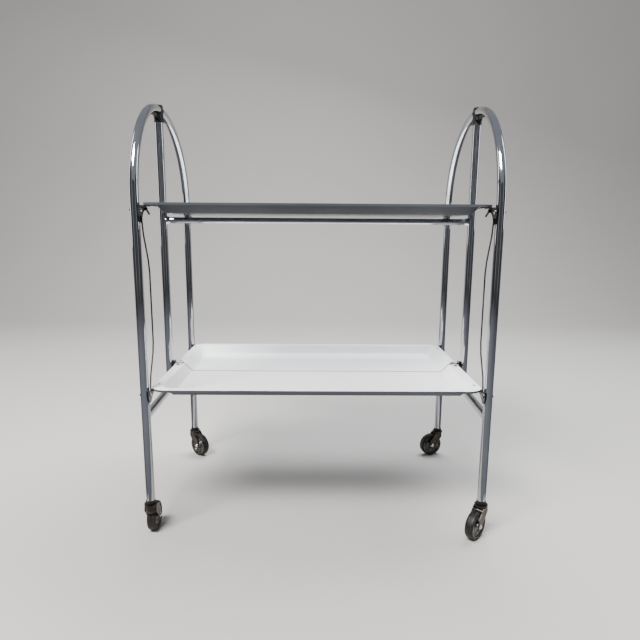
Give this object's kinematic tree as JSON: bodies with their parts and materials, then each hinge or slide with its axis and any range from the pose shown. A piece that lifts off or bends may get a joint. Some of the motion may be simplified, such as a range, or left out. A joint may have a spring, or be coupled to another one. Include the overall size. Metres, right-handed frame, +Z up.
{
  "type": "folding serving trolley",
  "caption": "Folding serving trolley with arched chrome tube ends, two shallow white trays that fold along a lengthwise seam, and swivel castors.",
  "frame": {"origin": "on the floor, at the centre of the bounding box base", "axes": "+Z up; +X along the trays, towards the right end as seen from the front; +Y from front to back"},
  "size_m": [0.656, 0.4138, 0.8164],
  "materials": {
    "chrome_tube": "polished, lightly worn plating",
    "black_plastic": "satin black moulding",
    "tray_enamel": "glossy white enamel above, grey below",
    "dark_steel": "tarnished plated steel",
    "bright_steel": "bright plated steel",
    "castor_metal": "aged dark metal, brownish wear",
    "wheel_metal": "ringed dark metal disc",
    "tyre_rubber": "dull black rubber"
  },
  "bodies": {
    "frame": {"left_post": "chrome_tube", "right_post": "chrome_tube", "cross_rail": "chrome_tube", "left_head_block": "black_plastic", "right_head_block": "black_plastic", "front_left_leg": "chrome_tube", "front_right_leg": "chrome_tube", "rear_left_leg": "chrome_tube", "rear_right_leg": "chrome_tube", "front_left_stretcher": "chrome_tube", "front_right_stretcher": "chrome_tube", "rear_left_stretcher": "chrome_tube", "rear_right_stretcher": "chrome_tube", "left_post_foot_plug": "chrome_tube", "right_post_foot_plug": "chrome_tube", "front_left_leg_socket": "black_plastic", "front_right_leg_socket": "black_plastic", "rear_left_leg_socket": "black_plastic", "rear_right_leg_socket": "black_plastic", "upper_seam_brackets": "dark_steel", "lower_seam_brackets": "dark_steel", "front_corner_brackets": "dark_steel", "rear_corner_brackets": "dark_steel", "bracket_bolts": "bright_steel", "left_release_rod": "dark_steel", "right_release_rod": "dark_steel"},
    "front_upper_tray_half": {"front_upper_tray": "tray_enamel", "front_upper_hinge_leaves": "tray_enamel"},
    "rear_upper_tray_half": {"rear_upper_tray": "tray_enamel", "rear_upper_hinge_leaves": "tray_enamel"},
    "front_lower_tray_half": {"front_lower_tray": "tray_enamel", "front_lower_hinge_leaves": "tray_enamel"},
    "rear_lower_tray_half": {"rear_lower_tray": "tray_enamel", "rear_lower_hinge_leaves": "tray_enamel"},
    "left_catch": {"left_catch_lever": "black_plastic"},
    "right_catch": {"right_catch_lever": "black_plastic"},
    "front_left_castor": {"front_left_castor_fork": "castor_metal", "front_left_castor_axle": "bright_steel"},
    "front_left_wheel": {"front_left_wheel_disc": "wheel_metal", "front_left_tyre": "tyre_rubber"},
    "front_right_castor": {"front_right_castor_fork": "castor_metal", "front_right_castor_axle": "bright_steel"},
    "front_right_wheel": {"front_right_wheel_disc": "wheel_metal", "front_right_tyre": "tyre_rubber"},
    "rear_left_castor": {"rear_left_castor_fork": "castor_metal", "rear_left_castor_axle": "bright_steel"},
    "rear_left_wheel": {"rear_left_wheel_disc": "wheel_metal", "rear_left_tyre": "tyre_rubber"},
    "rear_right_castor": {"rear_right_castor_fork": "castor_metal", "rear_right_castor_axle": "bright_steel"},
    "rear_right_wheel": {"rear_right_wheel_disc": "wheel_metal", "rear_right_tyre": "tyre_rubber"}
  },
  "joints": [
    {"name": "front_upper_tray_fold", "type": "hinge", "parent": "frame", "child": "front_upper_tray_half", "pos_m": [0, 0.0117, 0.6222], "axis": [-1, 0, 0], "range_deg": [0, 88]},
    {"name": "rear_upper_tray_fold", "type": "hinge", "parent": "frame", "child": "rear_upper_tray_half", "pos_m": [0, 0.0117, 0.6222], "axis": [1, 0, 0], "range_deg": [0, 88]},
    {"name": "front_lower_tray_fold", "type": "hinge", "parent": "frame", "child": "front_lower_tray_half", "pos_m": [0, 0.0117, 0.2902], "axis": [-1, 0, 0], "range_deg": [0, 88]},
    {"name": "rear_lower_tray_fold", "type": "hinge", "parent": "frame", "child": "rear_lower_tray_half", "pos_m": [0, 0.0117, 0.2902], "axis": [1, 0, 0], "range_deg": [0, 88]},
    {"name": "left_catch_turn", "type": "hinge", "parent": "frame", "child": "left_catch", "pos_m": [-0.30375, -0.14198, 0.6098], "axis": [0.9997, 0.0247, 0], "range_deg": [-25, 18], "stiffness_Nm_per_rad": 0.01},
    {"name": "right_catch_turn", "type": "hinge", "parent": "frame", "child": "right_catch", "pos_m": [0.30375, -0.14198, 0.6098], "axis": [0.9997, -0.0247, 0], "range_deg": [-25, 18], "stiffness_Nm_per_rad": 0.01},
    {"name": "front_left_castor_swivel", "type": "hinge", "parent": "frame", "child": "front_left_castor", "pos_m": [-0.314, -0.17024, 0.06], "axis": [0, 0, 1], "continuous": true},
    {"name": "front_left_wheel_spin", "type": "hinge", "parent": "front_left_castor", "child": "front_left_wheel", "pos_m": [-0.31466, -0.15126, 0.02725], "axis": [-0.9994, -0.0349, 0], "continuous": true},
    {"name": "front_right_castor_swivel", "type": "hinge", "parent": "frame", "child": "front_right_castor", "pos_m": [0.314, -0.17024, 0.06], "axis": [0, 0, 1], "continuous": true},
    {"name": "front_right_wheel_spin", "type": "hinge", "parent": "front_right_castor", "child": "front_right_wheel", "pos_m": [0.30057, -0.18368, 0.02725], "axis": [0.7071, -0.7071, 0], "continuous": true},
    {"name": "rear_left_castor_swivel", "type": "hinge", "parent": "frame", "child": "rear_left_castor", "pos_m": [-0.314, 0.19364, 0.06], "axis": [0, 0, 1], "continuous": true},
    {"name": "rear_left_wheel_spin", "type": "hinge", "parent": "rear_left_castor", "child": "rear_left_wheel", "pos_m": [-0.29923, 0.18169, 0.02725], "axis": [0.6293, 0.7771, 0], "continuous": true},
    {"name": "rear_right_castor_swivel", "type": "hinge", "parent": "frame", "child": "rear_right_castor", "pos_m": [0.314, 0.19364, 0.06], "axis": [0, 0, 1], "continuous": true},
    {"name": "rear_right_wheel_spin", "type": "hinge", "parent": "rear_right_castor", "child": "rear_right_wheel", "pos_m": [0.29574, 0.18841, 0.02725], "axis": [0.2756, -0.9613, 0], "continuous": true}
  ]
}
